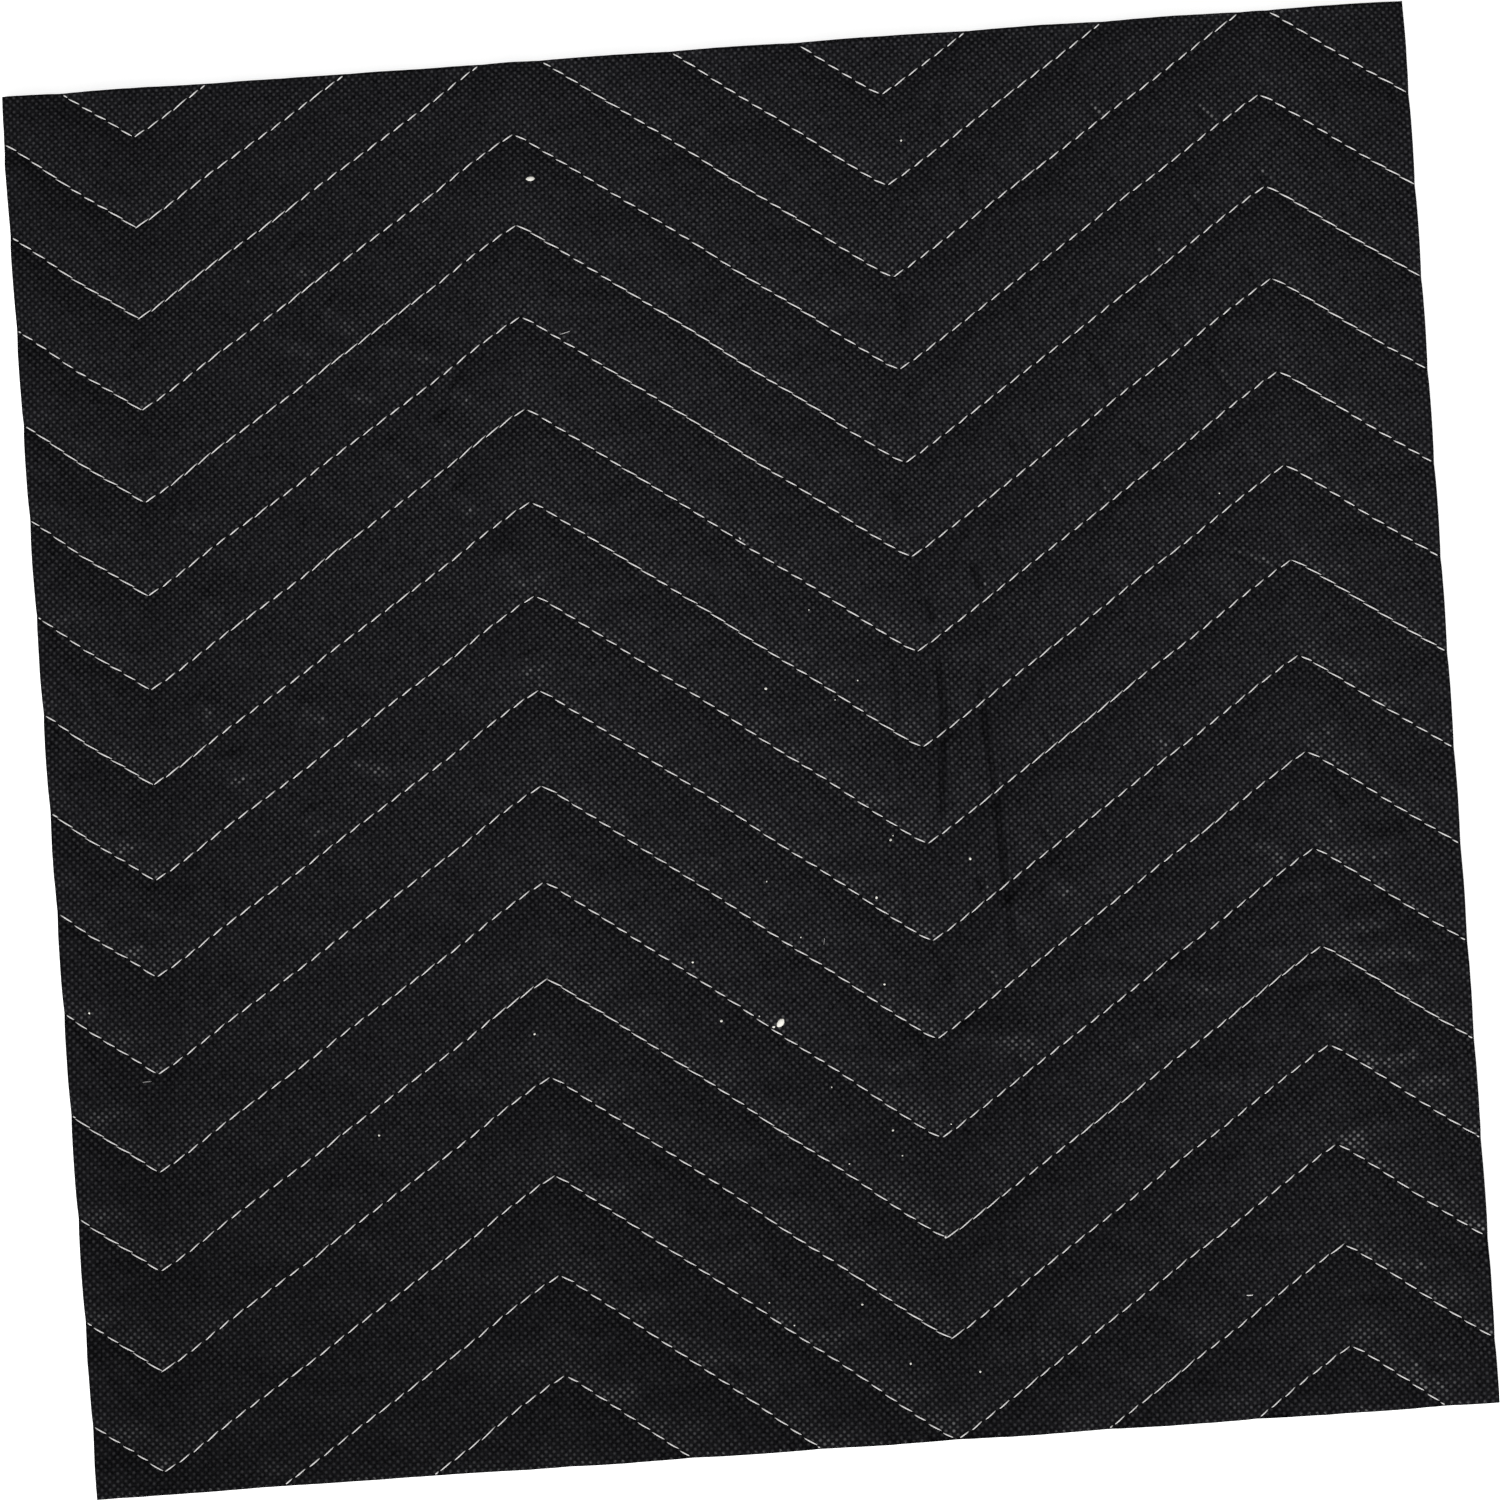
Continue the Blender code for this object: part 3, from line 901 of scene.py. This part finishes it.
fibres = {
    "firstTurn": 0.5, "firstScale": (900, 3600, 900),
    "secondTurn": -0.9, "secondScale": (3200, 800, 800),
    "toneScales": (1000.0, 2400.0), "toneRange": (0.8, 1.2),
    "patchScale": 110.0,
}


def fibreGroup():  # fine filaments lying every way, and the tone of the cloth between them
    group, given, put = newGroup(
        "spunFibre", [("Place", "Vector", None), ("Scale", "Float", 1.0)],
        [("Fibre", "Float"), ("Tone", "Float"), ("Patch", "Float")])
    scaled = group.nodes.new("ShaderNodeVectorMath")
    scaled.operation = "SCALE"
    group.links.new(given.outputs["Place"], scaled.inputs[0])
    group.links.new(given.outputs["Scale"], scaled.inputs["Scale"])
    place = scaled.outputs[0]
    first = noiseNode(group, place, 1.0, 3.0, 0.6, ((0, 0, fibres["firstTurn"]), fibres["firstScale"]))
    second = noiseNode(group, place, 1.0, 3.0, 0.6, ((0, 0, fibres["secondTurn"]), fibres["secondScale"]))
    group.links.new(times(group, plus(group, first, second), 0.5), put.inputs["Fibre"])
    coarse, fine = fibres["toneScales"]
    tone = plus(group, noiseNode(group, place, coarse, 3.0, 0.7), noiseNode(group, place, fine, 2.0, 0.6))
    group.links.new(rangeNode(group, tone, *fibres["toneRange"], 0.0, 1.0), put.inputs["Tone"])
    group.links.new(noiseNode(group, place, fibres["patchScale"], 2.0, 0.5), put.inputs["Patch"])
    return group


def squaredShare(tree, place, middle, reach):  # how far a place lies from a middle, over a reach, squared
    apart = tree.nodes.new("ShaderNodeVectorMath")
    apart.operation = "DISTANCE"
    tree.links.new(place, apart.inputs[0])
    tree.links.new(middle, apart.inputs[1])
    return mathNode(tree, "POWER", mathNode(tree, "DIVIDE", apart.outputs["Value"], reach), 2.0)


# the size of the random tone patches in the painted falloff group
paintedFalloffPatchScale = 28.0


def paintedFalloffGroup():  # painted light falloff: darker away from one place, painted shade about another, and a little darker in random patches of tone
    group, given, put = newGroup(
        "paintedFalloffTone",
        [("Place", "Vector", None), ("Middle", "Vector", None), ("Reach", "Float", 0.42),
         ("Loss", "Float", 0.2), ("Painted Shade Place", "Vector", None), ("Painted Shade Reach", "Float", 0.17),
         ("Painted Shade Loss", "Float", 0.2), ("Patches", "Float", 0.1)],
        [("Tone", "Float")])
    place = given.outputs["Place"]
    share = squaredShare(group, place, given.outputs["Middle"], given.outputs["Reach"])
    paintedLightShare = minus(group, 1.0, times(group, share, given.outputs["Loss"]))
    paintedShadeShare = squaredShare(group, place, given.outputs["Painted Shade Place"], given.outputs["Painted Shade Reach"])
    paintedShadeShare = mathNode(group, "EXPONENT", times(group, paintedShadeShare, -1.0))
    paintedLightShare = minus(group, paintedLightShare, times(group, paintedShadeShare, given.outputs["Painted Shade Loss"]))
    patch = noiseNode(group, place, paintedFalloffPatchScale, 2.0, 0.5)
    patch = minus(group, patch, 0.5)
    patch = times(group, patch, given.outputs["Patches"])
    group.links.new(plus(group, paintedLightShare, patch), put.inputs["Tone"])
    return group


groups = {"emboss": embossGroup(), "fibre": fibreGroup(), "paintedFalloff": paintedFalloffGroup()}


def scaleColour(tree, colour, share):
    node = tree.nodes.new("ShaderNodeVectorMath")
    node.operation = "SCALE"
    tree.links.new(colour, node.inputs[0])
    tree.links.new(share, node.inputs["Scale"])
    return node.outputs[0]


def placeGroup(tree, group, place, values):
    node = tree.nodes.new("ShaderNodeGroup")
    node.node_tree = group
    tree.links.new(place, node.inputs["Place"])
    for name, value in values.items():
        node.inputs[name].default_value = value
    return node


def bumpNode(tree, height, strength, distance):
    node = tree.nodes.new("ShaderNodeBump")
    node.inputs["Strength"].default_value = strength
    node.inputs["Distance"].default_value = distance
    tree.links.new(height, node.inputs["Height"])
    return node.outputs["Normal"]


coverLook = {
    "cloth": (0.0007, 0.0007, 0.0012, 1.0),
    "clothPale": (0.0082, 0.0082, 0.0097, 1.0),
    "point": (0.0285, 0.0285, 0.0320, 1.0),
    "filling": (0.012, 0.012, 0.012, 1.0),
    "roughness": 0.78,
    "roughnessRange": 0.08,
    "pointCoat": 0.56,
    "coatRoughness": 0.40,
    "specular": 0.035,
    "pointUnevenness": 0.45,  # how much the points differ from one to the next
    "pointPatches": 0.2,  # and how much they fade and come back from patch to patch
    # how far the painted shade darkens the cloth in creases and beside seams
    "foldShade": 0.38,
    "bumpStrength": 0.7, "bumpDistance": 0.00012,
    "fibreBump": 0.9,  # the fibres' height, over that of the points
    # painted light falloff across the pad, painted shade about a place at the front left, and random patches
    # of tone
    "paintedLightFalloff": {"Middle": (0.044, 0.022, 0.0), "Reach": 0.30, "Loss": 0.32,
                "Painted Shade Place": (-0.051, -0.205, 0.0), "Painted Shade Reach": 0.171, "Painted Shade Loss": 0.24, "Patches": 0.10},
}


def newMaterial(name):
    material = bpy.data.materials.new(name)
    material.use_nodes = True
    return material, material.node_tree, material.node_tree.nodes["Principled BSDF"]


def pointValue(tree, name):  # a value that each point of the mesh carries
    node = tree.nodes.new("ShaderNodeAttribute")
    node.attribute_name = name
    return node.outputs["Fac"]


def coverMaterial():
    material, tree, shader = newMaterial("padCoverCloth")
    shader.inputs["Specular IOR Level"].default_value = coverLook["specular"]
    shader.inputs["Coat Roughness"].default_value = coverLook["coatRoughness"]
    uv = tree.nodes.new("ShaderNodeUVMap")
    uv.uv_map = "clothWeave"
    place = tree.nodes.new("ShaderNodeTexCoord").outputs["Object"]
    cut = pointValue(tree, "cutEdge")
    covered = minus(tree, 1.0, cut)
    emboss = placeGroup(tree, groups["emboss"], uv.outputs[0], {"Unevenness": coverLook["pointUnevenness"]})
    fibre = placeGroup(tree, groups["fibre"], place, {"Scale": 1.0})
    paintedLightFalloff = placeGroup(tree, groups["paintedFalloff"], place, coverLook["paintedLightFalloff"])
    # painted shade in creases and beside seams, and the painted light falloff, darken the colour and the
    # points' coat
    shade = times(tree, pointValue(tree, "paintedShadeMask"), coverLook["foldShade"])
    lit = times(tree, minus(tree, 1.0, shade), paintedLightFalloff.outputs["Tone"])
    swing = coverLook["pointPatches"] / 2
    patches = rangeNode(tree, fibre.outputs["Patch"], 0.35, 0.65, 1 - swing, 1 + swing)
    point = times(tree, times(tree, emboss.outputs["Point"], patches), covered)
    cloth = mixColour(tree, fibre.outputs["Tone"], coverLook["cloth"], coverLook["clothPale"])
    cloth = mixColour(tree, cut, cloth, coverLook["filling"])
    colour = scaleColour(tree, mixColour(tree, point, cloth, coverLook["point"]), lit)
    smoothest = coverLook["roughness"] - coverLook["roughnessRange"]
    roughest = coverLook["roughness"] + coverLook["roughnessRange"]
    roughness = rangeNode(tree, fibre.outputs["Fibre"], 0.3, 0.7, smoothest, roughest)
    coat = times(tree, times(tree, point, lit), coverLook["pointCoat"])
    fibreHeight = times(tree, fibre.outputs["Fibre"], coverLook["fibreBump"])
    height = plus(tree, times(tree, emboss.outputs["Height"], covered), fibreHeight)
    normal = bumpNode(tree, height, coverLook["bumpStrength"], coverLook["bumpDistance"])
    feeds = {"Base Color": colour, "Roughness": roughness, "Coat Weight": coat, "Normal": normal}
    for socket, value in feeds.items():
        tree.links.new(value, shader.inputs[socket])
    return material


threadLook = {"fibre": (0.62, 0.61, 0.60, 1.0), "shade": (0.46, 0.45, 0.45, 1.0), "roughness": 0.6}
lintLook = {"fibre": (0.66, 0.65, 0.60, 1.0), "shade": (0.50, 0.49, 0.45, 1.0), "roughness": 0.8}
whiteFibre = {"specular": 0.3, "scale": 1.3, "bumpStrength": 0.5, "bumpDistance": 0.00006}


def fibreMaterial(name, look):  # white spun fibre, for the thread and the lint
    material, tree, shader = newMaterial(name)
    shader.inputs["Specular IOR Level"].default_value = whiteFibre["specular"]
    shader.inputs["Roughness"].default_value = look["roughness"]
    place = tree.nodes.new("ShaderNodeTexCoord").outputs["Object"]
    fibre = placeGroup(tree, groups["fibre"], place, {"Scale": whiteFibre["scale"]})
    tone = rangeNode(tree, fibre.outputs["Fibre"], 0.35, 0.65, 0.0, 1.0)
    tree.links.new(mixColour(tree, tone, look["shade"], look["fibre"]), shader.inputs["Base Color"])
    normal = bumpNode(tree, fibre.outputs["Fibre"], whiteFibre["bumpStrength"], whiteFibre["bumpDistance"])
    tree.links.new(normal, shader.inputs["Normal"])
    return material


sewingThread = fibreMaterial("quiltingThread", threadLook)
finishes = [(padBody, coverMaterial()), (topStitches, sewingThread), (undersideStitches, sewingThread),
            (looseEnds, sewingThread), (lintFlakes, fibreMaterial("lintFibre", lintLook))]
for piece, material in finishes:
    piece.data.materials.clear()
    piece.data.materials.append(material)

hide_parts("quilted_pad")
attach(padBody, "root")
for piece in (topStitches, undersideStitches, looseEnds, lintFlakes):
    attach(piece, "root")
print("materials and pieces in place")


studio = {
    "floorSide": 30.0,
    "floorDrop": 0.0002,
    "floorWhite": (0.88, 0.88, 0.88, 1.0),
    "floorRoughness": 0.9,
    "floorSpecular": 0.1,
    "floorGlow": 0.55,
    "fillStrength": 0.50,
    "lights": [
        {"name": "key", "place": (-1.5, -7.5, 5.5), "size": 3.2, "power": 1190.0},
        {"name": "back", "place": (1.1, 0.9, 2.4), "size": 2.2, "power": 12.0},
    ],
    "lens": 120.0,
    "sensor": 36.0,
    "frameWidth": 0.3972,  # how much of the floor the picture shows, at the height of the seams
    "roll": math.radians(-3.96),  # the pad lies turned in the picture
}


def floorAndWorld():
    bpy.ops.mesh.primitive_plane_add(size=studio["floorSide"], location=(0, 0, -studio["floorDrop"]))
    floor = bpy.context.object
    floor.name = "studioFloor"
    material, _, shader = newMaterial("studioFloor")
    shader.inputs["Base Color"].default_value = studio["floorWhite"]
    shader.inputs["Roughness"].default_value = studio["floorRoughness"]
    shader.inputs["Emission Color"].default_value = (1, 1, 1, 1)
    shader.inputs["Emission Strength"].default_value = studio["floorGlow"]
    shader.inputs["Specular IOR Level"].default_value = studio["floorSpecular"]
    floor.data.materials.append(material)
    world = bpy.data.worlds.new("studioFill")
    bpy.context.scene.world = world
    world.use_nodes = True
    tree = world.node_tree
    tree.nodes["Background"].inputs["Strength"].default_value = studio["fillStrength"]
    tree.nodes["Background"].inputs["Color"].default_value = (1, 1, 1, 1)
    backdrop = tree.nodes.new("ShaderNodeBackground")
    mix = tree.nodes.new("ShaderNodeMixShader")
    path = tree.nodes.new("ShaderNodeLightPath")
    tree.links.new(path.outputs["Is Camera Ray"], mix.inputs[0])
    tree.links.new(tree.nodes["Background"].outputs[0], mix.inputs[1])
    tree.links.new(backdrop.outputs[0], mix.inputs[2])
    tree.links.new(mix.outputs[0], tree.nodes["World Output"].inputs["Surface"])


def lightPad():
    for lamp in studio["lights"]:
        data = bpy.data.lights.new(lamp["name"], "AREA")
        data.shape, data.size, data.energy = "DISK", lamp["size"], lamp["power"]
        light = bpy.data.objects.new(lamp["name"], data)
        light.location = lamp["place"]
        light.rotation_euler = (-Vector(lamp["place"])).to_track_quat("-Z", "Y").to_euler()
        bpy.context.scene.collection.objects.link(light)


def lookDown():
    data = bpy.data.cameras.new("camera")
    data.lens, data.sensor_width = studio["lens"], studio["sensor"]
    camera = bpy.data.objects.new("camera", data)
    away = studio["frameWidth"] * studio["lens"] / studio["sensor"]
    camera.location = (0, 0, away + pad["seamTop"])
    camera.rotation_euler = (0, 0, studio["roll"])
    bpy.context.scene.collection.objects.link(camera)
    bpy.context.scene.camera = camera


floorAndWorld()
lightPad()
lookDown()
bpy.context.scene.view_settings.view_transform = "Standard"
bpy.ops.object.select_all(action="DESELECT")
print("studio ready")
